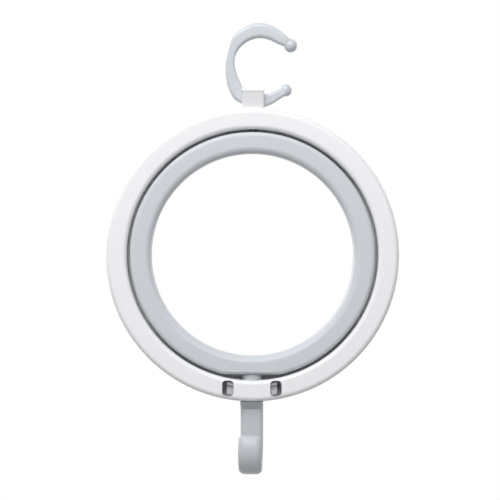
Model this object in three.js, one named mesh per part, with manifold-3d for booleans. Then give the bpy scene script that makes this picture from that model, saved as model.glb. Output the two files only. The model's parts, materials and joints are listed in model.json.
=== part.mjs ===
// Folding hat hook for a laundry pole, in millimetres.
// The front faces -Y, +X is to its right and +Z is up. The origin is on the axis of the pole that it hangs on.
// A white ring hangs from a C-shaped hook. A grey ring turns inside it on a pin above and a shaft below, and the
// shaft ends in a J hook.

import * as THREE from 'three';
import { mergeVertices } from 'three/addons/utils/BufferGeometryUtils.js';
import Module from 'manifold-3d';

const wasm = await Module();
wasm.setup();

// Clearances
const SEAM_GAP = 0.3; // between the two halves of a ring
const RUN_GAP = 0.25; // round a shaft, pin or peg that turns
const SEAT_GAP = 0.3; // between pieces that seat on each other

// Both rings
const RING_DEPTH = 15;
const WALL = 1.8;

// Outer ring
const OUTER_RING_R = 79.5;
const OUTER_RING_WIDTH = 11.4;
const OUTER_RING_RIM_EDGE = 2.8; // edge radius along the outside
const OUTER_RING_BORE_EDGE = 2.3; // edge radius along the inside

// Inner ring
const RING_GAP = 1.6; // between the two rings
const INNER_RING_WIDTH = 11.5;
const INNER_RING_RIM_EDGE = 2.2;
const INNER_RING_BORE_EDGE = 3.7;
const FOOT_CUT = 1.9; // depth of the flat at the inner ring's foot
const FOOT_CHAMFER = 1.2;
const FOOT_PAD = 2; // thickness of the seat behind the flat

// Rib round the rear half's bore, and the land on it that fills the gap behind the shaft
const RIB_HEIGHT = 0.95;
const RIB_NEAR = 4.6; // from the seam plane to the rib's front
const RIB_FAR = 6;
const LAND_REACH = 16; // land's end, from the axis to each side

// Pole hook, as stations round the pole: degrees from +X, then inner radius and thickness as shares of the bore
const HOOK_BORE_R = 15;
const HOOK_STATIONS = [
  [-45.5, 1.1, 0.293], // lower tip
  [-62, 1.035, 0.34],
  [-86, 1.05, 0.44],
  [-106, 1.06, 0.45],
  [-127, 1.06, 0.51], // root over the ring
  [-144, 0.98, 0.5],
  [-166, 0.96, 0.4],
  [-192, 1.01, 0.31], // back, which flexes
  [-208, 1.03, 0.34],
  [-228, 1.027, 0.463],
  [-264, 1.012, 0.535], // crown that takes the load
  [-286, 0.98, 0.49],
  [-306, 0.985, 0.41],
  [-324.6, 1.13, 0.28], // upper tip
];
const HOOK_DEPTH = 6.5;
const HOOK_EDGE = 1.5;
const UPPER_BALL_R = 3.65;
const LOWER_BALL_R = 3.3;
const POLE_OFFSET = 4.7; // pole axis to the right of the rings' axis
const HOOK_LIFT = 1; // hook's lowest point above the outer ring

// Bracket on top of the outer ring, one cheek on each half, and the hook's pegs in it
const CHEEK_WIDTH = 12;
const CHEEK_HEIGHT = 11;
const CHEEK_FOOT = 0.9; // thickness where it stands on the ring
const CHEEK_TOP = 3.4; // thickness under its bead, so that its face leans out
const CHEEK_CORNER = 0.8;
const BEAD_R = 1.45;
const BEAD_PROUD = 0.45; // how far the bead stands out of the cheek
const PEG_R = 1.7;
const PEG_LENGTH = 1.1;
const PEG_RISE = 2.9; // peg axis above the hook's lowest point

// Windows in the outer ring's front half
const WINDOW_CENTRE = 13;
const WINDOW_WIDTH = 6.2;
const WINDOW_CORNER = 2.3;
const WINDOW_REACH = 0.7; // how far the windows reach above the channel

// Lower shaft and J hook, one moulding
const SHAFT_R = 5.5;
const GROOVE_R = 4.2;
const NECK_R = 3.4;
const KEY_LENGTH = 16; // key bar on top of the shaft, inside the inner ring
const KEY_HEIGHT = 3;
const J_WIDTH = 12.1;
const J_THICKNESS = 4.6;
const J_OUTER_R = 13.6;
const J_BACK = 3.6; // back of the strip behind the shaft's axis
const J_LENGTH = 38.8; // outer ring's lowest point to the bottom of the hook
const J_ROOT_LIP = 0.6; // upright edge of the root under the ring
const J_ROOT_SLOPE = 3.6; // height of the sloping root
const J_LIP_RISE = 33; // degrees that the lip climbs past level
const J_EDGE = 1.8;
const J_TURN = -3; // degrees that it stands off the rings, within the play of its key
const J_ROOT_INSET = 0.2; // how much narrower the root is than the strip

// Clip that holds the shaft in the outer ring
const CLIP_WIDTH = 27.2;
const TONGUE_THICKNESS = 3;
const TOOTH_HEIGHT = 2.3;
const TOOTH_PROUD = 1.1;

// Upper pin
const PIN_R = 2.2;
const PIN_HEAD_R = 4.2;
const PIN_HEAD_HEIGHT = 2;

// Facets
const RING_STEPS = 64;
const EDGE_STEPS = 2; // each rounded edge of a ring has twice as many facets
const HOOK_STEPS = 39;
const END_STEPS = 6;
const CURVE_STEPS = 10;
const BEVEL_STEPS = 3;
const ROUND_STEPS = 28;
const SMALL_ROUND_STEPS = 18;
const BALL_RINGS = 10;
const MERGE_TOLERANCE = 1e-4;
const OVERCUT = 1; // how far a cut runs past the face that it opens

const face = RING_DEPTH / 2;
const seam = SEAM_GAP / 2;
const outerBoreR = OUTER_RING_R - OUTER_RING_WIDTH;
const channelInnerR = outerBoreR + WALL;
const channelOuterR = OUTER_RING_R - WALL;
const innerRimR = outerBoreR - RING_GAP;
const footZ = -(innerRimR - FOOT_CUT);
const cheekInside = HOOK_DEPTH / 2 + SEAT_GAP;
const cheekOutside = cheekInside + CHEEK_TOP;
const pegZ = OUTER_RING_R + HOOK_LIFT + PEG_RISE;
const jTop = -OUTER_RING_R - SEAT_GAP;

// Closed geometry as a solid that can be joined and cut.
function solid(geometry) {
  const bare = geometry.clone();
  bare.deleteAttribute('normal');
  bare.deleteAttribute('uv');
  const merged = mergeVertices(bare, MERGE_TOLERANCE);
  const corners = merged.index.array;
  const triangles = [];
  for (let i = 0; i < corners.length; i += 3) {
    const [a, b, c] = corners.slice(i, i + 3);
    if (a !== b && b !== c && c !== a) triangles.push(a, b, c);
  }
  const mesh = new wasm.Mesh({
    numProp: 3,
    vertProperties: new Float32Array(merged.attributes.position.array),
    triVerts: new Uint32Array(triangles),
  });
  return new wasm.Manifold(mesh);
}

// Named mesh of a finished solid.
function part(name, body, material) {
  const { vertProperties, triVerts } = body.getMesh();
  const geometry = new THREE.BufferGeometry();
  geometry.setAttribute('position', new THREE.BufferAttribute(vertProperties, 3));
  geometry.setIndex(new THREE.BufferAttribute(triVerts, 1));
  geometry.computeVertexNormals();
  const mesh = new THREE.Mesh(geometry, material);
  mesh.name = name;
  return mesh;
}

function plastic(color, roughness) {
  return new THREE.MeshStandardMaterial({ color, roughness, metalness: 0 });
}

// Outline through the given corners, each rounded by the same distance.
function roundedOutline(corners, radius) {
  const outline = new THREE.Shape();
  corners.forEach((corner, i) => {
    const before = corners[(i + corners.length - 1) % corners.length];
    const after = corners[(i + 1) % corners.length];
    const start = before.clone().sub(corner).setLength(radius).add(corner);
    const end = after.clone().sub(corner).setLength(radius).add(corner);
    if (i === 0) outline.moveTo(start.x, start.y);
    else outline.lineTo(start.x, start.y);
    outline.quadraticCurveTo(corner.x, corner.y, end.x, end.y);
  });
  outline.closePath();
  return outline;
}

function box(min, max) {
  const size = max.clone().sub(min);
  const geometry = new THREE.BoxGeometry(size.x, size.y, size.z);
  const middle = min.clone().add(max).multiplyScalar(0.5);
  geometry.translate(middle.x, middle.y, middle.z);
  return solid(geometry);
}

// Outline drawn in X and Z, extruded along Y from one depth to another.
function plate(outline, fromY, toY) {
  const geometry = new THREE.ExtrudeGeometry(outline, {
    depth: toY - fromY,
    bevelEnabled: false,
    curveSegments: CURVE_STEPS,
  });
  geometry.rotateX(Math.PI / 2);
  geometry.translate(0, toY, 0);
  return solid(geometry);
}

// Outline extruded along its own Z to a width, centred, with rounded edges.
function roundedBar(outline, width, edge) {
  const depth = width - 2 * edge;
  const geometry = new THREE.ExtrudeGeometry(outline, {
    depth,
    bevelEnabled: true,
    bevelThickness: edge,
    bevelSize: edge,
    bevelOffset: -edge,
    bevelSegments: BEVEL_STEPS,
    curveSegments: CURVE_STEPS,
  });
  geometry.translate(0, 0, -depth / 2);
  return geometry;
}

// Turns geometry so that a shape drawn in its X and Y lies in Y and Z, with its thickness along X.
function lieInYZ(geometry) {
  return geometry.rotateX(Math.PI / 2).rotateZ(Math.PI / 2);
}

// Outline drawn in Y and Z, extruded along X to a width about the middle.
function barAlongX(outline, width) {
  const geometry = new THREE.ExtrudeGeometry(outline, { depth: width, bevelEnabled: false });
  return solid(lieInYZ(geometry.translate(0, 0, -width / 2)));
}

// Profile of radius and height, turned about Z.
function turned(profile, steps) {
  const points = profile.map(([radius, z]) => new THREE.Vector2(radius, z));
  return solid(new THREE.LatheGeometry(points, steps).rotateX(Math.PI / 2));
}

function rodAlongZ(radius, fromZ, toZ) {
  return turned([[0, fromZ], [radius, fromZ], [radius, toZ], [0, toZ]], ROUND_STEPS);
}

function rodAlongY(radius, fromY, toY, z) {
  const geometry = new THREE.CylinderGeometry(radius, radius, toY - fromY, SMALL_ROUND_STEPS);
  return solid(geometry.translate(0, (fromY + toY) / 2, z));
}

// Height of a circle of the given radius at a distance to the side of its centre.
function heightOnCircle(radius, side) {
  return Math.sqrt(radius * radius - side * side);
}

// Four corners between two circles and two upright lines, below the rings' centre.
function bandCorners(fromX, toX, upperR, lowerR) {
  return [
    new THREE.Vector2(fromX, -heightOnCircle(lowerR, fromX)),
    new THREE.Vector2(toX, -heightOnCircle(lowerR, toX)),
    new THREE.Vector2(toX, -heightOnCircle(upperR, toX)),
    new THREE.Vector2(fromX, -heightOnCircle(upperR, fromX)),
  ];
}

// Half of a ring: a channel turned about Y, closed at its face and open at the seam.
function channel(rimR, width, rimEdge, boreEdge) {
  const boreR = rimR - width;
  const profile = new THREE.Path();
  profile.moveTo(rimR, seam);
  profile.lineTo(rimR, face - rimEdge);
  profile.absarc(rimR - rimEdge, face - rimEdge, rimEdge, 0, Math.PI / 2, false);
  profile.absarc(boreR + boreEdge, face - boreEdge, boreEdge, Math.PI / 2, Math.PI, false);
  profile.lineTo(boreR, seam);
  profile.lineTo(boreR + WALL, seam);
  profile.lineTo(boreR + WALL, face - WALL);
  profile.lineTo(rimR - WALL, face - WALL);
  profile.lineTo(rimR - WALL, seam);
  profile.closePath();
  return solid(new THREE.LatheGeometry(profile.getPoints(EDGE_STEPS), RING_STEPS));
}

// Cheek of the bracket: a plate with a bead along its top and a blind socket for the hook's peg.
function cheek() {
  const half = CHEEK_WIDTH / 2;
  const top = OUTER_RING_R + CHEEK_HEIGHT;
  const bottom = OUTER_RING_R - WALL / 2;
  const outline = roundedOutline([
    new THREE.Vector2(-half, bottom),
    new THREE.Vector2(half, bottom),
    new THREE.Vector2(half, top),
    new THREE.Vector2(-half, top),
  ], CHEEK_CORNER);
  const bead = new THREE.CylinderGeometry(BEAD_R, BEAD_R, CHEEK_WIDTH, SMALL_ROUND_STEPS);
  bead.rotateZ(Math.PI / 2);
  bead.translate(0, cheekOutside + BEAD_PROUD - BEAD_R, top - BEAD_R);
  const socketEnd = HOOK_DEPTH / 2 + PEG_LENGTH + SEAT_GAP;
  const socket = rodAlongY(PEG_R + RUN_GAP, cheekInside - OVERCUT, socketEnd, pegZ);
  const lean = barAlongX(new THREE.Shape([
    new THREE.Vector2(cheekInside, bottom),
    new THREE.Vector2(cheekInside + CHEEK_FOOT, bottom),
    new THREE.Vector2(cheekInside + CHEEK_FOOT, OUTER_RING_R),
    new THREE.Vector2(cheekOutside, top - 2 * BEAD_R),
    new THREE.Vector2(cheekOutside, top),
    new THREE.Vector2(cheekInside, top),
  ]), CHEEK_WIDTH);
  return plate(outline, cheekInside, cheekOutside).intersect(lean).add(solid(bead)).subtract(socket);
}

// Rib round the bore of the outer ring's rear half.
function rib() {
  const profile = [
    new THREE.Vector2(outerBoreR - RIB_HEIGHT, RIB_NEAR),
    new THREE.Vector2(outerBoreR + WALL / 2, RIB_NEAR),
    new THREE.Vector2(outerBoreR + WALL / 2, RIB_FAR),
    new THREE.Vector2(outerBoreR - RIB_HEIGHT, RIB_FAR),
    new THREE.Vector2(outerBoreR - RIB_HEIGHT, RIB_NEAR),
  ];
  return solid(new THREE.LatheGeometry(profile, RING_STEPS));
}

// Land on the rib, with a flat top under the inner ring's foot and rooted in the outer ring's wall.
function land() {
  const rootR = outerBoreR + WALL / 2;
  const spread = Math.asin(LAND_REACH / rootR);
  const top = footZ - SEAT_GAP;
  const outline = new THREE.Shape();
  outline.moveTo(LAND_REACH, top);
  outline.lineTo(-LAND_REACH, top);
  outline.absarc(0, 0, rootR, -Math.PI / 2 - spread, -Math.PI / 2 + spread, false);
  outline.closePath();
  return plate(outline, RIB_NEAR, RIB_FAR);
}

// Half of the outer ring with a cheek of the bracket, drawn with its face towards +Y.
function outerShell() {
  return channel(OUTER_RING_R, OUTER_RING_WIDTH, OUTER_RING_RIM_EDGE, OUTER_RING_BORE_EDGE).add(cheek());
}

// Bores through the outer ring for the shaft below and the pin above.
function outerBores() {
  const pinFrom = outerBoreR - RIB_HEIGHT - OVERCUT;
  return rodAlongZ(SHAFT_R + RUN_GAP, -OUTER_RING_R - OVERCUT, footZ)
    .add(rodAlongZ(PIN_R + RUN_GAP, pinFrom, channelInnerR + OVERCUT));
}

// Upright window, a little higher than the channel behind it, on one side of the shaft.
function window(side) {
  const half = WINDOW_WIDTH / 2;
  const middle = side * WINDOW_CENTRE;
  const bottom = -heightOnCircle(channelOuterR, WINDOW_CENTRE);
  const top = WINDOW_REACH - heightOnCircle(channelInnerR, WINDOW_CENTRE);
  const outline = roundedOutline([
    new THREE.Vector2(middle - half, bottom),
    new THREE.Vector2(middle + half, bottom),
    new THREE.Vector2(middle + half, top),
    new THREE.Vector2(middle - half, top),
  ], WINDOW_CORNER);
  return plate(outline, face - WALL - OVERCUT, face + OVERCUT);
}

// Half of the inner ring, drawn with its face towards +Y. Its foot is cut flat over a thick seat.
function innerRingHalf() {
  const half = heightOnCircle(innerRimR, footZ);
  const padHalf = half - WALL;
  const padTop = footZ + FOOT_PAD;
  const pad = box(new THREE.Vector3(-padHalf, seam, footZ), new THREE.Vector3(padHalf, face - WALL / 2, padTop));
  const below = box(
    new THREE.Vector3(-half - OVERCUT, -OVERCUT, -innerRimR - OVERCUT),
    new THREE.Vector3(half + OVERCUT, face + OVERCUT, footZ),
  );
  const chamferOutline = new THREE.Shape([
    new THREE.Vector2(face - FOOT_CHAMFER, footZ),
    new THREE.Vector2(face + OVERCUT, footZ - OVERCUT),
    new THREE.Vector2(face, footZ + FOOT_CHAMFER),
  ]);
  const chamfer = barAlongX(chamferOutline, 2 * half);
  const neckBore = rodAlongZ(NECK_R + RUN_GAP, footZ - OVERCUT, padTop + OVERCUT);
  const pinBore = rodAlongZ(PIN_R + RUN_GAP, innerRimR - WALL - OVERCUT, innerRimR + OVERCUT);
  return channel(innerRimR, INNER_RING_WIDTH, INNER_RING_RIM_EDGE, INNER_RING_BORE_EDGE)
    .add(pad)
    .subtract(below)
    .subtract(chamfer)
    .subtract(neckBore)
    .subtract(pinBore);
}

// Points of a half circle round the end of the hook, from its outside to its inside. The turn is the way that the
// end points: 1 for growing angles and -1 for falling ones.
function roundEnd({ x: angle, y: radius, z: thickness }, turn) {
  const middle = new THREE.Vector2(Math.cos(angle), Math.sin(angle)).multiplyScalar(radius + thickness / 2);
  const points = [];
  for (let i = 1; i < END_STEPS; i += 1) {
    const round = angle + (turn * Math.PI * i) / END_STEPS;
    const spoke = new THREE.Vector2(Math.cos(round), Math.sin(round));
    points.push(spoke.multiplyScalar(thickness / 2).add(middle));
  }
  return points;
}

// Station of the hook: angle in radians, inner radius and thickness in millimetres.
function hookStation([degrees, radius, thickness]) {
  return new THREE.Vector3(THREE.MathUtils.degToRad(degrees), radius * HOOK_BORE_R, thickness * HOOK_BORE_R);
}

// Smooth outline of the pole hook through its stations, out along the outside and back along the inside.
function hookOutline() {
  const stations = HOOK_STATIONS.map(hookStation);
  const along = new THREE.CatmullRomCurve3(stations).getPoints(HOOK_STEPS);
  const at = (angle, radius) => new THREE.Vector2(radius * Math.cos(angle), radius * Math.sin(angle));
  const outside = along.map(({ x: angle, y: radius, z: thickness }) => at(angle, radius + thickness));
  const inside = along.map(({ x: angle, y: radius }) => at(angle, radius));
  return [
    ...outside,
    ...roundEnd(stations.at(-1), -1),
    ...inside.reverse(),
    ...roundEnd(stations.at(0), 1).reverse(),
  ];
}

function hookTip(station, ballR) {
  const { x: angle, y: radius, z: thickness } = hookStation(station);
  const middle = radius + thickness / 2;
  const ball = new THREE.SphereGeometry(ballR, SMALL_ROUND_STEPS, BALL_RINGS);
  return solid(ball.translate(middle * Math.cos(angle), 0, middle * Math.sin(angle)));
}

function poleHook(outline, lowest) {
  const bar = roundedBar(new THREE.Shape(outline), HOOK_DEPTH, HOOK_EDGE).rotateX(Math.PI / 2);
  const pegEnd = HOOK_DEPTH / 2 + PEG_LENGTH;
  const pegs = new THREE.CylinderGeometry(PEG_R, PEG_R, 2 * pegEnd, SMALL_ROUND_STEPS);
  pegs.translate(-POLE_OFFSET, 0, lowest + PEG_RISE);
  return solid(bar)
    .add(hookTip(HOOK_STATIONS.at(0), LOWER_BALL_R))
    .add(hookTip(HOOK_STATIONS.at(-1), UPPER_BALL_R))
    .add(solid(pegs));
}

// Side view of the J hook in Y and Z: an upright strip, a round belly and a lip that leans back.
function jOutline() {
  const innerR = J_OUTER_R - J_THICKNESS;
  const centreY = J_BACK - J_OUTER_R;
  const centreZ = -OUTER_RING_R - J_LENGTH + J_OUTER_R;
  const lipAngle = Math.PI - THREE.MathUtils.degToRad(J_LIP_RISE);
  const lipMiddleR = J_OUTER_R - J_THICKNESS / 2;
  const lipY = centreY + lipMiddleR * Math.cos(lipAngle);
  const lipZ = centreZ + lipMiddleR * Math.sin(lipAngle);
  const outline = new THREE.Shape();
  outline.moveTo(J_BACK - J_THICKNESS, jTop);
  outline.lineTo(J_BACK - J_THICKNESS, centreZ);
  outline.absarc(centreY, centreZ, innerR, 0, lipAngle, true);
  outline.absarc(lipY, lipZ, J_THICKNESS / 2, lipAngle - Math.PI, lipAngle, false);
  outline.absarc(centreY, centreZ, J_OUTER_R, lipAngle, 2 * Math.PI, false);
  outline.lineTo(J_BACK, jTop);
  outline.closePath();
  return outline;
}

// Side view of the root that spreads the strip's top to the size of the shaft, with a slope under its front.
function rootOutline() {
  const back = J_BACK - J_THICKNESS / 2;
  const steepness = J_ROOT_SLOPE / (J_BACK - J_THICKNESS + SHAFT_R);
  const frontBottom = jTop - J_ROOT_LIP;
  return new THREE.Shape([
    new THREE.Vector2(-SHAFT_R, jTop),
    new THREE.Vector2(-SHAFT_R, frontBottom),
    new THREE.Vector2(back, frontBottom - steepness * (back + SHAFT_R)),
    new THREE.Vector2(back, jTop),
  ]);
}

// J hook with the shaft that rises through the outer ring and is keyed into the inner ring.
function accessoryHook() {
  const grooveMiddle = -(channelInnerR + channelOuterR) / 2;
  const grooveHalf = TONGUE_THICKNESS / 2 + SEAT_GAP;
  const shaftTop = footZ - SEAT_GAP;
  const keyBottom = footZ + FOOT_PAD + SEAT_GAP;
  const keyTop = keyBottom + KEY_HEIGHT;
  const shaft = turned([
    [0, jTop - J_ROOT_LIP],
    [GROOVE_R, jTop - J_ROOT_LIP],
    [GROOVE_R, jTop - J_ROOT_LIP / 2],
    [SHAFT_R - J_ROOT_INSET, jTop + SEAT_GAP / 2],
    [SHAFT_R, jTop + SEAT_GAP],
    [SHAFT_R, grooveMiddle - grooveHalf],
    [GROOVE_R, grooveMiddle - grooveHalf],
    [GROOVE_R, grooveMiddle + grooveHalf],
    [SHAFT_R, grooveMiddle + grooveHalf],
    [SHAFT_R, shaftTop],
    [NECK_R, shaftTop],
    [NECK_R, keyTop],
    [0, keyTop],
  ], ROUND_STEPS);
  const keyDepth = face - WALL - SEAT_GAP;
  const key = box(
    new THREE.Vector3(-KEY_LENGTH / 2, -keyDepth, keyBottom),
    new THREE.Vector3(KEY_LENGTH / 2, keyDepth, keyTop),
  );
  const hook = solid(lieInYZ(roundedBar(jOutline(), J_WIDTH, J_EDGE)));
  const root = barAlongX(rootOutline(), J_WIDTH - J_ROOT_INSET);
  return hook.add(root).rotate([0, 0, J_TURN]).add(shaft).add(key);
}

// Horseshoe clip: a tongue that straddles the shaft's groove, and an end block behind each window with a tooth.
function retainingClip() {
  const depth = face - WALL - SEAT_GAP;
  const blockInside = SHAFT_R + 3 * RUN_GAP;
  const slot = GROOVE_R + RUN_GAP;
  const blockUpperR = channelInnerR + SEAT_GAP;
  const blockLowerR = channelOuterR - SEAT_GAP;
  const tongueMiddle = -(channelInnerR + channelOuterR) / 2;
  const tongueHalf = TONGUE_THICKNESS / 2;
  const overlap = blockInside + OVERCUT;
  let clip = box(
    new THREE.Vector3(-overlap, -depth, tongueMiddle - tongueHalf),
    new THREE.Vector3(overlap, depth, tongueMiddle + tongueHalf),
  );
  clip = clip.subtract(rodAlongZ(slot, tongueMiddle - TONGUE_THICKNESS, tongueMiddle + TONGUE_THICKNESS));
  clip = clip.subtract(box(
    new THREE.Vector3(-slot, -depth - OVERCUT, tongueMiddle - TONGUE_THICKNESS),
    new THREE.Vector3(slot, 0, tongueMiddle + TONGUE_THICKNESS),
  ));
  const toothInside = WINDOW_CENTRE - WINDOW_WIDTH / 2 + 2 * SEAT_GAP;
  const toothLowerR = channelOuterR - WINDOW_CORNER / 2 - SEAT_GAP;
  for (const side of [-1, 1]) {
    const place = (corners) => new THREE.Shape(corners.map((c) => new THREE.Vector2(side * c.x, c.y)));
    const block = place(bandCorners(blockInside, CLIP_WIDTH / 2, blockUpperR, blockLowerR));
    const toothBand = bandCorners(toothInside, CLIP_WIDTH / 2, toothLowerR - TOOTH_HEIGHT, toothLowerR);
    clip = clip.add(plate(block, -depth, depth));
    clip = clip.add(plate(place(toothBand), -depth - TOOTH_PROUD, depth));
  }
  return clip;
}

// Pin with a head inside each ring.
function upperPivotPin() {
  const lowerHeadTop = heightOnCircle(innerRimR - WALL, PIN_HEAD_R) - SEAT_GAP;
  const upperHeadBottom = channelInnerR + SEAT_GAP;
  return turned([
    [0, lowerHeadTop - PIN_HEAD_HEIGHT],
    [PIN_HEAD_R, lowerHeadTop - PIN_HEAD_HEIGHT],
    [PIN_HEAD_R, lowerHeadTop],
    [PIN_R, lowerHeadTop],
    [PIN_R, upperHeadBottom],
    [PIN_HEAD_R, upperHeadBottom],
    [PIN_HEAD_R, upperHeadBottom + PIN_HEAD_HEIGHT],
    [0, upperHeadBottom + PIN_HEAD_HEIGHT],
  ], SMALL_ROUND_STEPS);
}

const white = () => plastic('#f1f1f3', 0.38);
const paleGrey = () => plastic('#cdd2d8', 0.38);
const hookGrey = () => plastic('#d3d8dd', 0.35);
const lowerGrey = () => plastic('#c0c3c8', 0.35);
const clipGrey = () => plastic('#b4b5b8', 0.45);
const pinGrey = () => plastic('#68696b', 0.45);

const outline = hookOutline();
const hookLowest = Math.min(...outline.map((point) => point.y));

const hatHook = new THREE.Group();
hatHook.add(part('pole_hook', poleHook(outline, hookLowest), hookGrey()));

const rings = new THREE.Group();
rings.position.set(-POLE_OFFSET, 0, hookLowest - HOOK_LIFT - OUTER_RING_R);
hatHook.add(rings);

const outerFront = outerShell().subtract(outerBores()).subtract(window(-1)).subtract(window(1));
const outerRear = outerShell().add(rib()).add(land()).subtract(outerBores());
const outerFrontShell = part('outer_ring_front_shell', outerFront, white());
outerFrontShell.rotation.z = Math.PI;
rings.add(outerFrontShell);
rings.add(part('outer_ring_rear_shell', outerRear, white()));
rings.add(part('retaining_clip', retainingClip(), clipGrey()));

const turningRing = new THREE.Group();
const innerFrontShell = part('inner_ring_front_shell', innerRingHalf(), paleGrey());
innerFrontShell.rotation.z = Math.PI;
turningRing.add(innerFrontShell);
turningRing.add(part('inner_ring_rear_shell', innerRingHalf(), paleGrey()));
turningRing.add(part('accessory_hook', accessoryHook(), lowerGrey()));
turningRing.add(part('upper_pivot_pin', upperPivotPin(), pinGrey()));
rings.add(turningRing);

export default hatHook;
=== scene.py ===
# %% [markdown]
# # A folding hat hook for a laundry pole
# The real one is moulded in satin plastic: a white ring with a pale grey ring turning inside it, a C-shaped
# hook above for the pole and a J hook below. The pieces are already laid out in the frame that is loaded
# here, in metres, with the front towards -Y. Each step below makes one piece again with smooth surfaces, in
# the same place, so that the joints still carry it.

import json
import math

import bmesh
import bpy
from mathutils import Matrix, Vector


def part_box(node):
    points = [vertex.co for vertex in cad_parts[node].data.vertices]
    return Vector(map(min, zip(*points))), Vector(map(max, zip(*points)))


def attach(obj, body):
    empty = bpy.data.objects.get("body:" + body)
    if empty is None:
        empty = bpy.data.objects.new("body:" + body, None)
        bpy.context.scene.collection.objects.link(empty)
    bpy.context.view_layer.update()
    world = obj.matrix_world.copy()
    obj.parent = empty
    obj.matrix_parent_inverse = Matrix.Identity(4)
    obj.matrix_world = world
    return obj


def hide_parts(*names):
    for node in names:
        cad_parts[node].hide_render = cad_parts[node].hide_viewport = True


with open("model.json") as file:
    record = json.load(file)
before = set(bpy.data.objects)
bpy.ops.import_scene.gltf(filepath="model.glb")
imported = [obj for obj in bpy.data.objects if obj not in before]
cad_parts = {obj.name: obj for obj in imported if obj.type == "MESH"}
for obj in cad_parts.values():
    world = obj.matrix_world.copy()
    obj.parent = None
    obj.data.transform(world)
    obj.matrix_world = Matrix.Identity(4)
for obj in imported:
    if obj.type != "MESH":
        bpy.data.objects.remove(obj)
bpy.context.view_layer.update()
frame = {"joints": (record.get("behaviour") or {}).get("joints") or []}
MM = 0.001
joint_at = {joint["name"]: Vector(joint["pos_m"]) for joint in frame["joints"]}

# %% [markdown]
# ## Places that every piece shares
# The rings have one centre, and the inner ring turns about the upright line through it. The sizes are read
# from the frame's own boxes where a box gives them, so that nothing here has to be fitted afterwards.
# SEAT_GAP lies between pieces that sit against each other and RUN_GAP round what turns. OVERCUT is how far
# a cutting shape reaches past what it cuts, so that no thin skin is left.

# %% Read the shared places
ring = joint_at["inner_ring_turn"]
pegs = joint_at["bracket_pivot"]
outer_low, outer_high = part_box("outer_ring_rear_shell")
inner_low, inner_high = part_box("inner_ring_rear_shell")
OUTER_RIM_R = (outer_high.x - outer_low.x) / 2
INNER_RIM_R = (inner_high.x - inner_low.x) / 2
FACE = outer_high.y
SEAM = outer_low.y
FOOT_Z = inner_low.z
WALL = 1.8 * MM
SEAT_GAP = 0.3 * MM
RUN_GAP = 0.25 * MM
OVERCUT = 1 * MM
print(f"outer ring {2 * OUTER_RIM_R / MM:.1f} mm across, {2 * FACE / MM:.1f} mm deep")

# %% [markdown]
# ## Finishes
# Every piece is coloured through, with the faint grain that a spark-eroded mould leaves. A picture could
# give that, but nodes stay sharp at any distance. A fine noise on Object coordinates gives the grain as
# bump. A broad, weak noise shifts the colour and the gloss by a few percent, as flow in the mould does. One
# function makes all the finishes, because they differ only in colour and gloss. Colours are given as a
# screen shows them, from 0 to 255, and the shader needs them linear.

# %% A satin moulded plastic
GRAIN_SCALE = 2600
GRAIN_STRENGTH = 0.025
GRAIN_DEPTH = 0.05 * MM
FLOW_SCALE = 45
FLOW_DETAIL = 2
FLOW_SHADE = 0.975
GLOSS_SHIFT = 0.03


def linear(srgb):
    return tuple(((c / 255 + 0.055) / 1.055) ** 2.4 for c in srgb)


def satin_plastic(name, srgb, roughness, sheen=0.3):
    material = bpy.data.materials.new(name)
    material.use_nodes = True
    nodes, links = material.node_tree.nodes, material.node_tree.links
    shader = nodes["Principled BSDF"]
    place = nodes.new("ShaderNodeTexCoord")
    flow = nodes.new("ShaderNodeTexNoise")
    flow.inputs["Scale"].default_value = FLOW_SCALE
    flow.inputs["Detail"].default_value = FLOW_DETAIL
    tint = nodes.new("ShaderNodeMix")
    tint.data_type = "RGBA"
    colour = linear(srgb)
    tint.inputs["A"].default_value = (*[c * FLOW_SHADE for c in colour], 1)
    tint.inputs["B"].default_value = (*colour, 1)
    gloss = nodes.new("ShaderNodeMapRange")
    gloss.inputs["To Min"].default_value = roughness - GLOSS_SHIFT
    gloss.inputs["To Max"].default_value = roughness + GLOSS_SHIFT
    fine = nodes.new("ShaderNodeTexNoise")
    fine.inputs["Scale"].default_value = GRAIN_SCALE
    bump = nodes.new("ShaderNodeBump")
    bump.inputs["Strength"].default_value = GRAIN_STRENGTH
    bump.inputs["Distance"].default_value = GRAIN_DEPTH
    links.new(place.outputs["Object"], flow.inputs["Vector"])
    links.new(place.outputs["Object"], fine.inputs["Vector"])
    links.new(flow.outputs["Fac"], tint.inputs["Factor"])
    links.new(flow.outputs["Fac"], gloss.inputs["Value"])
    links.new(fine.outputs["Fac"], bump.inputs["Height"])
    links.new(tint.outputs["Result"], shader.inputs["Base Color"])
    links.new(gloss.outputs["Result"], shader.inputs["Roughness"])
    links.new(bump.outputs["Normal"], shader.inputs["Normal"])
    shader.inputs["Specular IOR Level"].default_value = sheen
    return material


print(f"grain up to {GRAIN_DEPTH / MM:.2f} mm deep, gloss within {GLOSS_SHIFT}")

# %% Mix the six finishes
white = satin_plastic("white_plastic", (242, 242, 244), roughness=0.4)
pale_grey = satin_plastic("pale_grey_plastic", (207, 211, 216), roughness=0.38)
hook_grey = satin_plastic("hook_grey_plastic", (203, 208, 213), roughness=0.27, sheen=0.45)
lower_grey = satin_plastic("lower_hook_plastic", (195, 198, 203), roughness=0.36)
# the clip's grey is darkened: painted shade for the recess behind the windows
clip_painted_shade = satin_plastic("clip_plastic_painted_shade", (186, 187, 190), roughness=0.45)
# the pin's dark grey is painted shade for the gap between the rings
pin_painted_shade = satin_plastic("pin_plastic_painted_shade", (104, 105, 107), roughness=0.45)
finishes = (white, pale_grey, hook_grey, lower_grey, clip_painted_shade, pin_painted_shade)
print("finishes:", ", ".join(finish.name for finish in finishes))
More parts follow.
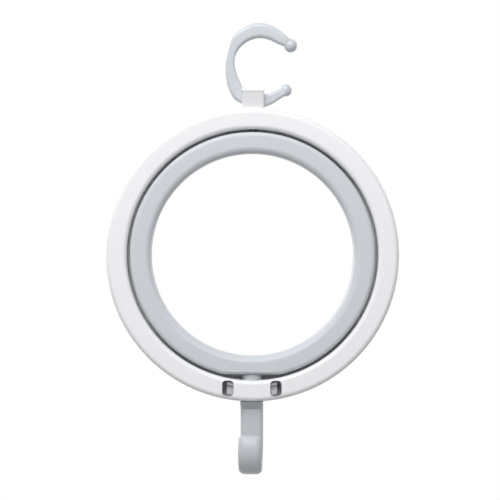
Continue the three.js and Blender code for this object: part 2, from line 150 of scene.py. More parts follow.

# %% [markdown]
# ## From a bmesh to a finished piece
# Each shape is drawn as a bmesh, the mesh that Blender's modelling operators work on, and then becomes a
# piece. A bore or a boss could be modelled into the skin by hand, but a boolean puts it in just where it
# belongs, as a core does in the mould. A finished piece gets its material and its body, and the frame's
# part that it stands for is hidden. Smooth shading stops at real corners, and weighted normals keep the
# flat faces flat beside their rounded edges.

# %% Make and carve pieces
TOUCHING = 0.001 * MM
SLIVER = 0.01 * MM


def as_piece(name, bm):
    bmesh.ops.remove_doubles(bm, verts=bm.verts, dist=TOUCHING)
    bmesh.ops.recalc_face_normals(bm, faces=bm.faces)
    mesh = bpy.data.meshes.new(name)
    bm.to_mesh(mesh)
    bm.free()
    piece = bpy.data.objects.new(name, mesh)
    bpy.context.scene.collection.objects.link(piece)
    return piece


def carve(piece, tool, how="DIFFERENCE"):
    step = piece.modifiers.new("carve", "BOOLEAN")
    step.operation = how
    step.solver = "EXACT"
    step.object = tool
    seen = piece.evaluated_get(bpy.context.evaluated_depsgraph_get())
    piece.data = bpy.data.meshes.new_from_object(seen)
    piece.modifiers.clear()
    bpy.data.objects.remove(tool)
    bm = bmesh.new()
    bm.from_mesh(piece.data)
    bmesh.ops.dissolve_degenerate(bm, dist=SLIVER, edges=bm.edges)
    bm.to_mesh(piece.data)
    bm.free()


print(f"points closer than {TOUCHING / MM} mm become one")

# %% Finish a piece
CORNER = math.radians(30)


def finish_piece(piece, material, body, node):
    mesh = piece.data
    mesh.materials.clear()
    mesh.materials.append(material)
    mesh.shade_smooth()
    mesh.set_sharp_from_angle(angle=CORNER)
    normals = piece.modifiers.new("flat_faces", "WEIGHTED_NORMAL")
    normals.keep_sharp = True
    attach(piece, body)
    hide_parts(node)
    triangles = sum(len(face.vertices) - 2 for face in mesh.polygons)
    print(f"{piece.name}: {triangles} triangles, rides on {body}")


print(f"shading breaks at corners over {math.degrees(CORNER):.0f} degrees")

# %% [markdown]
# ## Half of a ring
# Both rings are moulded as two open channels that meet at a seam in the middle of the depth. A torus would
# be quick, but it has no flat face and no hollow. So a wire profile of a few corner points is spun round
# the ring's axis. Then its two face edges are rolled over with a wide bevel, and its seam edges get a small
# one, which draws the fine line that runs round the real ring.

# %% Turn a profile and round its edges
RING_STEPS = 192
ON_CIRCLE = 0.01 * MM


def turn(points, centre, axis, steps, closed):
    bm = bmesh.new()
    verts = [bm.verts.new(point) for point in points]
    edges = [bm.edges.new(pair) for pair in zip(verts, verts[1:])]
    if closed:
        edges.append(bm.edges.new((verts[-1], verts[0])))
    bmesh.ops.spin(bm, geom=verts + edges, cent=centre, axis=axis, angle=2 * math.pi, steps=steps,
                   use_merge=True)
    bmesh.ops.remove_doubles(bm, verts=bm.verts, dist=TOUCHING)
    return bm


def round_edges(bm, edges, radius, segments=8):
    bmesh.ops.bevel(bm, geom=edges, offset=radius, offset_type="OFFSET", segments=segments, profile=0.5,
                    affect="EDGES", clamp_overlap=True, material=-1)


def circle_edges(bm, radius, depth):
    def on_circle(vert):
        away = math.hypot(vert.co.x - ring.x, vert.co.z - ring.z)
        return abs(away - radius) < ON_CIRCLE and abs(vert.co.y - depth) < ON_CIRCLE
    return [edge for edge in bm.edges if all(on_circle(vert) for vert in edge.verts)]


print(f"a ring is turned in {RING_STEPS} steps")

# %% Make both halves of the outer ring
OUTER_WIDTH = 11.4 * MM
OUTER_RIM_EDGE = 2.8 * MM
OUTER_BORE_EDGE = 2.3 * MM
SEAM_EDGE = 0.25 * MM
FRONT, REAR = -1, 1


def channel(name, rim_r, width, rim_edge, bore_edge, side):
    bore_r = rim_r - width
    profile = [
        (rim_r, SEAM), (rim_r, FACE), (bore_r, FACE), (bore_r, SEAM),
        (bore_r + WALL, SEAM), (bore_r + WALL, FACE - WALL),
        (rim_r - WALL, FACE - WALL), (rim_r - WALL, SEAM),
    ]
    points = [ring + Vector((radius, side * depth, 0)) for radius, depth in profile]
    bm = turn(points, ring, (0, 1, 0), RING_STEPS, closed=True)
    round_edges(bm, circle_edges(bm, rim_r, side * FACE), rim_edge)
    round_edges(bm, circle_edges(bm, bore_r, side * FACE), bore_edge)
    for radius in (rim_r, bore_r):
        round_edges(bm, circle_edges(bm, radius, side * SEAM), SEAM_EDGE, segments=2)
    return as_piece(name, bm)


outer_halves = {
    side: channel(name, OUTER_RIM_R, OUTER_WIDTH, OUTER_RIM_EDGE, OUTER_BORE_EDGE, side)
    for name, side in (("outer_front", FRONT), ("outer_rear", REAR))
}
print("channels of the outer ring:", [piece.name for piece in outer_halves.values()])

# %% [markdown]
# ## The bracket's cheeks
# The pole hook sits between two plates, one moulded on each half of the outer ring. Each has a rolled bead
# along its top, which stiffens it and catches the light, and below the bead its face leans back to the
# ring. One outline pushed sideways could give all of it, but then the bead's ends would stay flat. So a
# cube, cut twice across and with its foot moved in, is the plate, and a capped cone of equal ends is the
# bead. Both are joined to the ring so that one moulding is left.

# %% Shape a cheek
CHEEK_HALF = 6 * MM
CHEEK_NEAR = 3.55 * MM
CHEEK_FOOT = 4.45 * MM
CHEEK_FAR = 6.95 * MM
CHEEK_EDGE = 0.85 * MM
BEAD_R = 1.45 * MM
cheek_top = outer_high.z
cheek_root = ring.z + OUTER_RIM_R - WALL / 2


def add_box(bm, place, size):
    bmesh.ops.create_cube(bm, size=1, matrix=place @ Matrix.Diagonal((*size, 1)))


def sharp_edges(bm, edges):
    bm.normal_update()
    return [edge for edge in edges if edge.calc_face_angle() > CORNER]


def cheek(side):
    bm = bmesh.new()
    middle = (ring.x, side * (CHEEK_NEAR + CHEEK_FAR) / 2, (cheek_top + cheek_root) / 2)
    size = (2 * CHEEK_HALF, CHEEK_FAR - CHEEK_NEAR, cheek_top - cheek_root)
    add_box(bm, Matrix.Translation(middle), size)
    for height in (ring.z + OUTER_RIM_R, cheek_top - 2 * BEAD_R):
        everything = bm.verts[:] + bm.edges[:] + bm.faces[:]
        bmesh.ops.bisect_plane(bm, geom=everything, plane_co=(0, 0, height), plane_no=(0, 0, 1))
    front = [vert for vert in bm.verts if abs(vert.co.y) > (CHEEK_NEAR + CHEEK_FAR) / 2]
    foot = [vert for vert in front if vert.co.z < cheek_top - 3 * BEAD_R]
    bmesh.ops.translate(bm, vec=(0, side * (CHEEK_FOOT - CHEEK_FAR), 0), verts=foot)
    outside = [edge for edge in bm.edges if all(vert in front for vert in edge.verts)]
    round_edges(bm, sharp_edges(bm, outside), CHEEK_EDGE, segments=5)
    return as_piece("cheek", bm)


print(f"bracket {2 * CHEEK_HALF / MM:.1f} mm wide, top at {cheek_top / MM:.1f} mm")

# %% Shape the bead and join it, the cheek and the peg's socket
PIN_STEPS = 64
BEAD_STEPS = 32
BEAD_PROUD = 0.45 * MM
PEG_R = 1.7 * MM
PEG_END = 4.35 * MM


def rod(name, place, radius, length, steps, edge=0, edge_steps=3):
    bm = bmesh.new()
    bmesh.ops.create_cone(bm, cap_ends=True, segments=steps, radius1=radius, radius2=radius, depth=length,
                          matrix=place)
    if edge:
        round_edges(bm, sharp_edges(bm, bm.edges), edge, edge_steps)
    return as_piece(name, bm)


def rod_along_y(name, radius, near, far, middle, edge=0):
    centre = Matrix.Translation((middle.x, (near + far) / 2, middle.z))
    return rod(name, centre @ Matrix.Rotation(math.pi / 2, 4, "X"), radius, far - near, PIN_STEPS, edge)


def bead(side):
    middle = (ring.x, side * (CHEEK_FAR + BEAD_PROUD - BEAD_R), cheek_top - BEAD_R)
    place = Matrix.Translation(middle) @ Matrix.Rotation(math.pi / 2, 4, "Y")
    return rod("bead", place, BEAD_R, 2 * CHEEK_HALF, BEAD_STEPS, CHEEK_EDGE / 2, edge_steps=4)


for side, half in outer_halves.items():
    carve(half, cheek(side), "UNION")
    carve(half, bead(side), "UNION")
    ends = sorted((side * (CHEEK_NEAR - OVERCUT), side * (PEG_END + SEAT_GAP)))
    carve(half, rod_along_y("socket", PEG_R + RUN_GAP, *ends, pegs))
    print(f"{half.name} with its cheek: {len(half.data.polygons)} faces")

# %% [markdown]
# ## The rib and the land
# In the rear half of the outer ring a low rib runs round the bore, and a land on it closes the gap under
# the inner ring's flat foot. The rib could be two more corners in the channel's profile, but then the front
# half would get it too, so it is turned by itself. The land starts as one face and is pushed on. The face's
# edges go into the extrusion with it, so that the face left behind is taken out and the skin stays closed.

# %% Turn the rib
RIB_HEIGHT = 0.95 * MM
RIB_NEAR = 4.6 * MM
RIB_FAR = 6 * MM
OUTER_BORE_R = OUTER_RIM_R - OUTER_WIDTH


def rib():
    profile = [
        (-RIB_HEIGHT, RIB_NEAR), (WALL / 2, RIB_NEAR), (WALL / 2, RIB_FAR), (-RIB_HEIGHT, RIB_FAR),
    ]
    points = [ring + Vector((OUTER_BORE_R + out, depth, 0)) for out, depth in profile]
    return as_piece("rib", turn(points, ring, (0, 1, 0), RING_STEPS, closed=True))


carve(outer_halves[REAR], rib(), "UNION")
print(f"rib {RIB_HEIGHT / MM:.2f} mm high")

# %% Push a face on for the land
LAND_REACH = 16 * MM
LAND_STEPS = 24


def only(kind, items):
    return [item for item in items if isinstance(item, kind)]


def grow(bm, end):
    grown = bmesh.ops.extrude_face_region(bm, geom=[end, *end.edges])["geom"]
    [new_end] = only(bmesh.types.BMFace, grown)
    return new_end, only(bmesh.types.BMVert, grown)


def push(bm, end, move):
    new_end, verts = grow(bm, end)
    bmesh.ops.translate(bm, vec=move, verts=verts)
    return new_end, verts


def land():
    bm = bmesh.new()
    root_r = OUTER_BORE_R + WALL / 2
    across = [LAND_REACH * (2 * i / LAND_STEPS - 1) for i in range(LAND_STEPS + 1)]
    low = [bm.verts.new((ring.x + x, RIB_NEAR, ring.z - math.sqrt(root_r ** 2 - x ** 2))) for x in across]
    high = [bm.verts.new((ring.x + x, RIB_NEAR, FOOT_Z - SEAT_GAP)) for x in (LAND_REACH, -LAND_REACH)]
    push(bm, bm.faces.new(low + high), (0, RIB_FAR - RIB_NEAR, 0))
    return as_piece("land", bm)


carve(outer_halves[REAR], land(), "UNION")
print(f"land {2 * LAND_REACH / MM:.0f} mm long")

# %% [markdown]
# ## Bores and windows of the outer ring
# The shaft of the J hook passes through the foot of the ring, and the upper pin through its crown. Beside
# the shaft, two upright windows in the front half show the clip behind. Openings could be left in the skin
# by taking faces out, but the ring's faces don't lie along them. So each is cut, a bore by a turned rod and
# a window by a cube with its four through edges rounded.

# %% Turn rods for the bores and round cubes for the windows
SHAFT_R = 5.5 * MM
PIN_R = 2.2 * MM
LEFT, RIGHT = -1, 1
WINDOW_MIDDLE = 13 * MM
WINDOW_HALF = 3.1 * MM
WINDOW_CORNER = 2.2 * MM
WINDOW_REACH = 0.7 * MM
WINDOW_DEPTH = 4 * WALL
channel_middle_r = (OUTER_BORE_R + OUTER_RIM_R) / 2
channel_half = OUTER_WIDTH / 2 - WALL


def turn_about_z(profile):
    points = [Vector((ring.x + radius, 0, z)) for radius, z in profile]
    return turn(points, ring, (0, 0, 1), PIN_STEPS, closed=False)


def rod_along_z(name, radius, low, high):
    return as_piece(name, turn_about_z([(0, low), (radius, low), (radius, high), (0, high)]))


def window_block(side):
    bm = bmesh.new()
    top = ring.z - math.sqrt((channel_middle_r - channel_half) ** 2 - WINDOW_MIDDLE ** 2) + WINDOW_REACH
    bottom = ring.z - math.sqrt((channel_middle_r + channel_half) ** 2 - WINDOW_MIDDLE ** 2)
    middle = (ring.x + side * WINDOW_MIDDLE, -FACE, (top + bottom) / 2)
    add_box(bm, Matrix.Translation(middle), (2 * WINDOW_HALF, WINDOW_DEPTH, top - bottom))
    through = [edge for edge in bm.edges if abs(edge.verts[0].co.y - edge.verts[1].co.y) > WALL]
    round_edges(bm, through, WINDOW_CORNER)
    return as_piece("window", bm)


print(f"windows {2 * WINDOW_HALF / MM:.1f} mm wide, {WINDOW_MIDDLE / MM:.0f} mm from the middle")

# %% Cut the bores and the windows
bore_top = ring.z + OUTER_BORE_R
for half in outer_halves.values():
    carve(half, rod_along_z("shaft_bore", SHAFT_R + RUN_GAP, ring.z - OUTER_RIM_R - OVERCUT, FOOT_Z))
    pin_ends = (bore_top - RIB_HEIGHT - OVERCUT, bore_top + WALL + OVERCUT)
    carve(half, rod_along_z("pin_bore", PIN_R + RUN_GAP, *pin_ends))
for side in (LEFT, RIGHT):
    carve(outer_halves[FRONT], window_block(side))
finish_piece(outer_halves[FRONT], white, "outer_ring", "outer_ring_front_shell")
finish_piece(outer_halves[REAR], white, "outer_ring", "outer_ring_rear_shell")

# %% [markdown]
# ## The inner ring
# The grey ring is made as the white one, with tighter outer edges. Its foot is cut flat to clear the
# shaft's shoulder, with a thicker seat inside the channel where the shaft's neck passes. The cut gets a
# chamfer along its front and back edges. A bevel would follow the rolled rim there and grow uneven, so a
# bar that stands on its edge cuts the chamfer.

# %% Shape the cutters for the foot
FOOT_CHAMFER = 1.2 * MM
foot_half = math.sqrt(INNER_RIM_R ** 2 - (ring.z - FOOT_Z) ** 2)


def block(name, low, high):
    bm = bmesh.new()
    low, high = Vector(low), Vector(high)
    add_box(bm, Matrix.Translation((low + high) / 2), high - low)
    return as_piece(name, bm)


def chamfer_bar(side):
    bm = bmesh.new()
    place = Matrix.Translation((ring.x, side * FACE, FOOT_Z)) @ Matrix.Rotation(math.pi / 4, 4, "X")
    leg = FOOT_CHAMFER * math.sqrt(2)
    add_box(bm, place, (4 * foot_half, leg, leg))
    return as_piece("chamfer", bm)


print(f"flat foot {2 * foot_half / MM:.1f} mm long")

# %% Spin the inner ring and cut its foot
INNER_WIDTH = 11.5 * MM
INNER_RIM_EDGE = 2.2 * MM
INNER_BORE_EDGE = 3.7 * MM
FOOT_PAD = 2 * MM
NECK_R = 3.4 * MM
pad_half = foot_half - WALL
rim_top = ring.z + INNER_RIM_R


def inner_half(name, side):
    half = channel(name, INNER_RIM_R, INNER_WIDTH, INNER_RIM_EDGE, INNER_BORE_EDGE, side)
    near, far = sorted((side * SEAM, side * (FACE - WALL / 2)))
    pad_low = (ring.x - pad_half, near, FOOT_Z - OVERCUT / 4)
    carve(half, block("pad", pad_low, (ring.x + pad_half, far, FOOT_Z + FOOT_PAD)), "UNION")
    below = (ring.x - 2 * foot_half, -2 * FACE, ring.z - INNER_RIM_R - OVERCUT)
    carve(half, block("below", below, (ring.x + 2 * foot_half, 2 * FACE, FOOT_Z)))
    carve(half, chamfer_bar(side))
    neck_ends = (FOOT_Z - OVERCUT, FOOT_Z + FOOT_PAD + OVERCUT)
    carve(half, rod_along_z("neck_bore", NECK_R + RUN_GAP, *neck_ends))
    carve(half, rod_along_z("pin_bore", PIN_R + RUN_GAP, rim_top - WALL - OVERCUT, rim_top + OVERCUT))
    return half


inner_front = inner_half("inner_front", FRONT)
inner_rear = inner_half("inner_rear", REAR)
finish_piece(inner_front, pale_grey, "inner_ring", "inner_ring_front_shell")
finish_piece(inner_rear, pale_grey, "inner_ring", "inner_ring_rear_shell")

# %% [markdown]
# ## The pole hook
# The C hook is thick over the pole and over the ring, and thin at its back, where it flexes. A curve with a
# round bevel would make a wire of it, and the real one is a flat bar with rounded edges. So it is swept:
# one rounded face is extruded step after step, and each new face is turned, scaled and carried to the next
# place round the pole. A table of a few stations gives the shape, and a smooth curve runs through them.
# Balls are then joined to both tips, and the pegs that sit in the cheeks.

# %% Run a smooth curve through the stations
HOOK_BORE_R = 15 * MM
HOOK_STATIONS = [
    # degrees round the pole, then inner radius and thickness as shares of the bore radius
    (-45.5, 1.1, 0.293),
    (-62, 1.035, 0.34),
    (-86, 1.05, 0.44),
    (-106, 1.06, 0.45),
    (-127, 1.06, 0.51),
    (-144, 0.98, 0.5),
    (-166, 0.96, 0.4),
    (-192, 1.01, 0.31),
    (-208, 1.03, 0.34),
    (-228, 1.027, 0.463),
    (-264, 1.012, 0.535),
    (-286, 0.98, 0.49),
    (-306, 0.985, 0.41),
    (-324.6, 1.13, 0.28),
]
LAST_STATION = len(HOOK_STATIONS) - 1
HOOK_DEPTH = 6.5 * MM
TIP_DEPTH = 5 * MM


def smooth_between(a, b, c, d, t):
    return b + 0.5 * t * (c - a + t * (2 * a - 5 * b + 4 * c - d + t * (3 * (b - c) + d - a)))


def hook_station(t):
    i = min(int(t), LAST_STATION - 1)
    rows = [HOOK_STATIONS[min(max(i + k, 0), LAST_STATION)] for k in (-1, 0, 1, 2)]
    return [smooth_between(*column, t - i) for column in zip(*rows)]


def hook_place(t):
    degrees, radius, thickness = hook_station(t)
    outwards = Matrix.Rotation(-math.radians(degrees), 4, "Y")
    middle = Matrix.Translation(((radius + thickness / 2) * HOOK_BORE_R, 0, 0))
    from_tip = min(t, LAST_STATION - t, 1)
    depth = HOOK_DEPTH - (HOOK_DEPTH - TIP_DEPTH) * (1 - from_tip) ** 2
    return outwards @ middle @ Matrix.Diagonal((thickness * HOOK_BORE_R, depth, 1, 1))


print(f"hook for a {2 * HOOK_BORE_R / MM:.0f} mm pole, {len(HOOK_STATIONS)} stations")

# %% Sweep the pole hook
HOOK_ROUNDING = 0.25
HOOK_STEPS = 112
ROUNDING_STEPS = 7


def rounded_face(bm, place, radius):
    bmesh.ops.create_grid(bm, x_segments=1, y_segments=1, size=0.5, matrix=place)
    bmesh.ops.bevel(bm, geom=bm.verts[:], offset=radius, offset_type="OFFSET", segments=ROUNDING_STEPS,
                    profile=0.5, affect="VERTICES", material=-1)
    [face] = bm.faces
    return face


def sweep_hook():
    bm = bmesh.new()
    end = rounded_face(bm, Matrix.Identity(4), HOOK_ROUNDING)
    here = hook_place(0)
    bmesh.ops.transform(bm, matrix=here, verts=bm.verts)
    for step in range(1, HOOK_STEPS + 1):
        there = hook_place(step * LAST_STATION / HOOK_STEPS)
        end, verts = grow(bm, end)
        bmesh.ops.transform(bm, matrix=there @ here.inverted(), verts=verts)
        here = there
    return as_piece("pole_hook_moulding", bm)


pole_hook = sweep_hook()
print(f"{pole_hook.name}: swept in {HOOK_STEPS} steps")

# %% Join the balls and the pegs
UPPER_BALL_R = 3.65 * MM
LOWER_BALL_R = 3.3 * MM
PEG_EDGE = 0.3 * MM


def ball(t, radius):
    bm = bmesh.new()
    middle = Matrix.Translation(hook_place(t).to_translation())
    bmesh.ops.create_uvsphere(bm, u_segments=48, v_segments=32, radius=radius, matrix=middle)
    return as_piece("ball", bm)


carve(pole_hook, ball(0, LOWER_BALL_R), "UNION")
carve(pole_hook, ball(LAST_STATION, UPPER_BALL_R), "UNION")
carve(pole_hook, rod_along_y("pegs", PEG_R, -PEG_END, PEG_END, pegs, PEG_EDGE), "UNION")
finish_piece(pole_hook, hook_grey, "pole_hook", "pole_hook")

# %% [markdown]
# ## The J hook
# The J starts as a deep block under the ring, slopes back to a flat strip, curls forward and ends in a lip
# that leans back. A side outline pushed across would leave its long edges sharp, and the real one is
# rounded along them. So it is one chain from one rounded face: extrude down, move the front corners back
# for the slope, extrude down again, spin the belly, then close the lip with a few shrinking steps so that
# its end is round.

# %% Widen the corners and round the lip
J_HALF = 6.15 * MM
J_THICKNESS = 4.6 * MM
J_EDGE = 2.2 * MM
J_EDGE_ACROSS = 3.6 * MM
J_ROOT_EDGE = 0.7 * MM
J_LIP_RISE = math.radians(33)
LIP_END = 1.9 * MM
LIP_STEPS = 6
belly_angle = -math.pi - J_LIP_RISE


def widen_corner(bm, verts, corner):
    near = [vert for vert in verts if (vert.co.xy - corner.xy).length < 2 * J_ROOT_EDGE]
    wider = Matrix.Diagonal((J_EDGE_ACROSS / J_ROOT_EDGE, J_EDGE / J_ROOT_EDGE, 1, 1))
    about_corner = Matrix.Translation(corner) @ wider @ Matrix.Translation(-corner)
    bmesh.ops.transform(bm, matrix=about_corner, verts=near)


def round_lip(bm, end):
    turned = Matrix.Rotation(belly_angle, 4, "X")
    forward = turned @ Vector((0, 0, -1))
    lip = Matrix.Translation(end.calc_center_median()) @ turned
    inset, ahead = 0, 0
    for step in range(1, LIP_STEPS + 1):
        round_by = step / LIP_STEPS * math.pi / 2
        next_inset = LIP_END * (1 - math.cos(round_by))
        next_ahead = LIP_END * math.sin(round_by)
        end, verts = push(bm, end, forward * (next_ahead - ahead))
        wide = (J_HALF - next_inset) / (J_HALF - inset)
        thick = (J_THICKNESS / 2 - next_inset) / (J_THICKNESS / 2 - inset)
        shrink = lip @ Matrix.Diagonal((wide, thick, 1, 1)) @ lip.inverted()
        bmesh.ops.transform(bm, matrix=shrink, verts=verts)
        inset, ahead = next_inset, next_ahead


print(f"lip {2 * J_HALF / MM:.1f} mm wide and {J_THICKNESS / MM:.1f} mm thick")

# %% Chain the J hook
J_BACK = 3.6 * MM
J_OUTER_R = 13.6 * MM
J_ROOT_LIP = 0.15 * MM
J_ROOT_SLOPE = 4.05 * MM
BELLY_STEPS = 56
J_TURN = math.radians(-3)
j_low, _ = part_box("accessory_hook")
j_top = ring.z - OUTER_RIM_R - SEAT_GAP
j_centre = Vector((ring.x, J_BACK - J_OUTER_R, j_low.z + J_OUTER_R))


def j_hook():
    bm = bmesh.new()
    depth = J_BACK + SHAFT_R
    end = rounded_face(bm, Matrix.Diagonal((2 * J_HALF, depth, 1, 1)), J_ROOT_EDGE)
    bmesh.ops.translate(bm, vec=(ring.x, J_BACK - depth / 2, j_top), verts=bm.verts)
    end, verts = push(bm, end, (0, 0, -J_ROOT_LIP))
    end, verts = push(bm, end, (0, 0, -J_ROOT_SLOPE))
    front = [vert for vert in verts if vert.co.y < J_BACK - depth / 2]
    bmesh.ops.translate(bm, vec=(0, depth - J_THICKNESS, 0), verts=front)
    for level in (J_BACK - J_THICKNESS, J_BACK):
        for side in (LEFT, RIGHT):
            widen_corner(bm, verts, Vector((ring.x + side * J_HALF, level, 0)))
    end, verts = push(bm, end, (0, 0, j_centre.z - verts[0].co.z))
    belly = bmesh.ops.spin(bm, geom=[end, *end.edges], cent=j_centre, axis=(1, 0, 0), angle=belly_angle,
                           steps=BELLY_STEPS)
    [end] = only(bmesh.types.BMFace, belly["geom_last"])
    round_lip(bm, end)
    bmesh.ops.rotate(bm, cent=ring, matrix=Matrix.Rotation(J_TURN, 3, "Z"), verts=bm.verts)
    return as_piece("accessory_hook_moulding", bm)


accessory_hook = j_hook()
print(f"J hook hangs from {j_top / MM:.1f} to {j_low.z / MM:.1f} mm")

# %% [markdown]
# ## Shaft, groove and key
# The shaft rises from the J hook through the outer ring, with a groove for the clip, a neck through the
# inner ring's seat and a flat key bar on top. Stacked cylinders would give the same form, but one turned
# profile keeps its steps in one skin. The key lies across the channel, so the J hook and the inner ring
# turn as one.

# %% Turn the shaft and join it to the J hook
GROOVE_R = 4.2 * MM
GROOVE_HALF = 1.8 * MM
KEY_HALF = 8 * MM
KEY_HEIGHT = 3 * MM
shaft_low = j_top - J_ROOT_LIP / 2
groove_z = ring.z - channel_middle_r
key_low = FOOT_Z + FOOT_PAD + SEAT_GAP
key_depth = FACE - WALL - SEAT_GAP
shaft = as_piece("shaft", turn_about_z([
    (0, shaft_low), (GROOVE_R, shaft_low), (SHAFT_R, j_top + SEAT_GAP),
    (SHAFT_R, groove_z - GROOVE_HALF), (GROOVE_R, groove_z - GROOVE_HALF),
    (GROOVE_R, groove_z + GROOVE_HALF), (SHAFT_R, groove_z + GROOVE_HALF),
    (SHAFT_R, FOOT_Z - SEAT_GAP), (NECK_R, FOOT_Z - SEAT_GAP),
    (NECK_R, key_low + KEY_HEIGHT / 2), (0, key_low + KEY_HEIGHT / 2),
]))
key = block("key", (ring.x - KEY_HALF, -key_depth, key_low),
            (ring.x + KEY_HALF, key_depth, key_low + KEY_HEIGHT))
carve(accessory_hook, shaft, "UNION")
carve(accessory_hook, key, "UNION")
finish_piece(accessory_hook, lower_grey, "inner_ring", "accessory_hook")

# %% [markdown]
# ## The clip behind the windows
# A horseshoe straddles the shaft's groove and keeps it in the ring. Its two ends fill the channel
# behind the windows. Each end has a top bar, a set-back face and a tooth below that stands proud into the
# window. Its darkened grey is painted shade for the recess behind the windows. Upright blocks would meet
# the ring's wall at a corner, so the ends' blocks are sheared by the ring's slope at that place.

# %% Cut the horseshoe's tongue
CLIP_INNER = 6.5 * MM
TONGUE_HALF = 1.5 * MM
tongue_span = CLIP_INNER + OVERCUT
slot_half = GROOVE_R + RUN_GAP
slot_low, slot_high = groove_z - SHAFT_R, groove_z + SHAFT_R
clip = block("retaining_clip_moulding", (ring.x - tongue_span, -key_depth, groove_z - TONGUE_HALF),
             (ring.x + tongue_span, key_depth, groove_z + TONGUE_HALF))
carve(clip, rod_along_z("slot_end", slot_half, slot_low, slot_high))
carve(clip, block("slot", (ring.x - slot_half, -FACE, slot_low), (ring.x + slot_half, 0, slot_high)))
print(f"tongue {2 * TONGUE_HALF / MM:.1f} mm thick round a {2 * slot_half / MM:.1f} mm slot")

# %% Join the ends that show in the windows
CLIP_OUTER = 13.6 * MM
CLIP_EDGE = 0.25 * MM
BAR_HEIGHT = 1.3 * MM
POCKET = 1.6 * MM
TOOTH_TOP = -0.6 * MM
TOOTH_RAISED = 0.9 * MM
TOOTH_PROUD = 1.1 * MM
end_half = channel_half - SEAT_GAP
tooth_inner = WINDOW_MIDDLE - WINDOW_HALF + 2 * SEAT_GAP


def clip_block(side, x_span, y_span, z_span):
    bm = bmesh.new()
    drop = math.sqrt(channel_middle_r ** 2 - WINDOW_MIDDLE ** 2)
    shear = Matrix.Identity(4)
    shear[2][0] = side * WINDOW_MIDDLE / drop
    low = Vector((x_span[0] - WINDOW_MIDDLE, y_span[0], z_span[0]))
    high = Vector((x_span[1] - WINDOW_MIDDLE, y_span[1], z_span[1]))
    middle = (low + high) / 2
    middle.x *= side
    add_box(bm, Matrix.Translation(middle), high - low)
    round_edges(bm, bm.edges[:], CLIP_EDGE, segments=3)
    place = Matrix.Translation((ring.x + side * WINDOW_MIDDLE, 0, ring.z - drop)) @ shear
    bmesh.ops.transform(bm, matrix=place, verts=bm.verts)
    return as_piece("clip_block", bm)


for side in (LEFT, RIGHT):
    whole = clip_block(side, (CLIP_INNER, CLIP_OUTER), (-key_depth, key_depth), (-end_half, end_half))
    carve(clip, whole, "UNION")
    set_back = clip_block(side, (tooth_inner - OVERCUT, CLIP_OUTER + OVERCUT),
                          (-FACE, -key_depth + POCKET), (TOOTH_TOP, end_half - BAR_HEIGHT))
    carve(clip, set_back)
    tooth = clip_block(side, (tooth_inner, CLIP_OUTER),
                       (-key_depth - TOOTH_PROUD, 0), (-end_half + TOOTH_RAISED, TOOTH_TOP))
    carve(clip, tooth, "UNION")
# the clip's darkened grey is painted shade
finish_piece(clip, clip_painted_shade, "outer_ring", "retaining_clip")

# %% [markdown]
# ## The upper pin
# A headed pin joins the rings at the crown. Only its neck shows, as a dark spot in the gap between the
# rings; its dark grey is painted shade for that gap. It is turned from one profile, as the shaft is, and
# its height is read from the frame.

# %% Turn the upper pin
PIN_HEAD_R = 4.2 * MM
PIN_HEAD_HEIGHT = 2 * MM
pin_low, pin_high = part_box("upper_pivot_pin")
neck_low, neck_high = pin_low.z + PIN_HEAD_HEIGHT, pin_high.z - PIN_HEAD_HEIGHT
upper_pin = as_piece("upper_pin", turn_about_z([
    (0, pin_low.z), (PIN_HEAD_R, pin_low.z), (PIN_HEAD_R, neck_low), (PIN_R, neck_low),
    (PIN_R, neck_high), (PIN_HEAD_R, neck_high), (PIN_HEAD_R, pin_high.z), (0, pin_high.z),
]))
# the pin's dark grey is painted shade
finish_piece(upper_pin, pin_painted_shade, "inner_ring", "upper_pivot_pin")

# %% [markdown]
# ## Stage
# The hook hangs in the air in front of white, over a round, pale floor. Lamps strong enough to make the
# floor white would bleach the hook. So what the camera or a reflection sees of the world is plain white,
# and of the floor nearly so. To all other rays the world is only as bright as a room, and the floor is a
# plain light grey, so neither of them puts more light on the object.

# %% Lay the floor
FLOOR_Z = -0.9
FLOOR_R = 1.7
FLOOR_COLOUR = (0.52, 0.52, 0.52, 1)
FLOOR_ROUGHNESS = 0.9
FLOOR_GLOW = 0.7
PLAIN_WHITE = (1, 1, 1, 1)


def seen_directly(nodes, links):
    path = nodes.new("ShaderNodeLightPath")
    seen = path.outputs["Is Camera Ray"]
    for ray in ("Is Glossy Ray", "Is Transmission Ray"):
        either = nodes.new("ShaderNodeMath")
        either.operation = "MAXIMUM"
        links.new(seen, either.inputs[0])
        links.new(path.outputs[ray], either.inputs[1])
        seen = either.outputs["Value"]
    return seen


def make_floor():
    bm = bmesh.new()
    bmesh.ops.create_circle(bm, cap_ends=True, segments=RING_STEPS, radius=FLOOR_R,
                            matrix=Matrix.Translation((ring.x, 0, FLOOR_Z)))
    floor = as_piece("floor", bm)
    paint = bpy.data.materials.new("pale_floor")
    paint.use_nodes = True
    nodes, links = paint.node_tree.nodes, paint.node_tree.links
    shader = nodes["Principled BSDF"]
    shader.inputs["Base Color"].default_value = FLOOR_COLOUR
    shader.inputs["Roughness"].default_value = FLOOR_ROUGHNESS
    shader.inputs["Emission Color"].default_value = PLAIN_WHITE
    glow = nodes.new("ShaderNodeMath")
    glow.operation = "MULTIPLY"
    glow.inputs[1].default_value = FLOOR_GLOW
    links.new(seen_directly(nodes, links), glow.inputs[0])
    links.new(glow.outputs["Value"], shader.inputs["Emission Strength"])
    floor.data.materials.append(paint)


make_floor()
print(f"floor {2 * FLOOR_R:.1f} m across, {-FLOOR_Z:.1f} m below the pole")

# %% Set the world
AMBIENT = 0.2
ROOM_COLOUR = (0.95, 0.97, 1, 1)


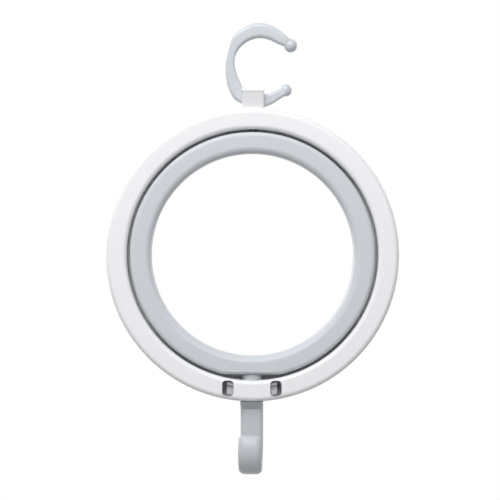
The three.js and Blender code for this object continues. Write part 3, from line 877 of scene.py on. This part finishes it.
def make_world():
    world = bpy.data.worlds.new("studio")
    world.use_nodes = True
    nodes, links = world.node_tree.nodes, world.node_tree.links
    room = nodes["Background"]
    room.inputs["Color"].default_value = ROOM_COLOUR
    room.inputs["Strength"].default_value = AMBIENT
    backdrop = nodes.new("ShaderNodeBackground")
    backdrop.inputs["Color"].default_value = PLAIN_WHITE
    mix = nodes.new("ShaderNodeMixShader")
    links.new(seen_directly(nodes, links), mix.inputs["Fac"])
    links.new(room.outputs["Background"], mix.inputs[1])
    links.new(backdrop.outputs["Background"], mix.inputs[2])
    links.new(mix.outputs["Shader"], nodes["World Output"].inputs["Surface"])
    bpy.context.scene.world = world


make_world()
bpy.context.scene.view_settings.view_transform = "Standard"
print("world:", bpy.context.scene.world.name)

# %% [markdown]
# ## Light
# The photograph is lit softly from the upper left: rounded edges that face that way are bright, and the
# ones that face away fall off to grey. One large lamp gives that, and one in front opens the shadows. Two
# more light the back, which the photograph does not show. They come in at a slant, so that the gap between
# the rings stays dark.

# %% Place the lamps
AIM_LEFT = 1.35 * MM
AIM_UP = 2.6 * MM
LAMPS = [
    # name, place from the aim and size in metres, power in watts
    ("key", (-0.5, -0.74, 1.02), 0.7, 9.2),
    ("front", (0, -1.28, 0.78), 0.8, 12.2),
    ("back_left", (-1.1, 1, 0.35), 1.2, 12),
    ("back_right", (1.1, 1, 0.35), 1.2, 7),
]
aim = Vector((ring.x - AIM_LEFT, 0, ring.z + AIM_UP))


def lamp(name, place, size, power):
    light = bpy.data.lights.new(name, "AREA")
    light.size = size
    light.energy = power
    holder = bpy.data.objects.new(name, light)
    holder.location = place
    holder.rotation_euler = (aim - place).to_track_quat("-Z", "Y").to_euler()
    bpy.context.scene.collection.objects.link(holder)


for name, away, size, power in LAMPS:
    lamp(name, aim + Vector(away), size, power)
print("lamps:", ", ".join(name for name, *_ in LAMPS))

# %% [markdown]
# ## Camera
# The camera looks straight at the rings, rolled by a fraction of a degree as in the photograph. The rings'
# rims look alike all round there, so the lens is long: a short one from close by would show the inside of
# the bore.

# %% Place the camera
FRAME_WIDTH = 272.3 * MM
CAMERA_DISTANCE = 1.0
SENSOR = 36
CAMERA_ROLL = math.radians(0.25)
camera_data = bpy.data.cameras.new("camera")
camera_data.sensor_width = SENSOR
camera_data.lens = SENSOR * CAMERA_DISTANCE / FRAME_WIDTH
camera = bpy.data.objects.new("camera", camera_data)
camera.matrix_world = (
    Matrix.Translation(aim + Vector((0, -CAMERA_DISTANCE, 0)))
    @ Matrix.Rotation(math.pi / 2, 4, "X")
    @ Matrix.Rotation(CAMERA_ROLL, 4, "Z")
)
bpy.context.scene.collection.objects.link(camera)
bpy.context.scene.camera = camera
print(f"lens {camera_data.lens:.0f} mm at {CAMERA_DISTANCE:.2f} m")
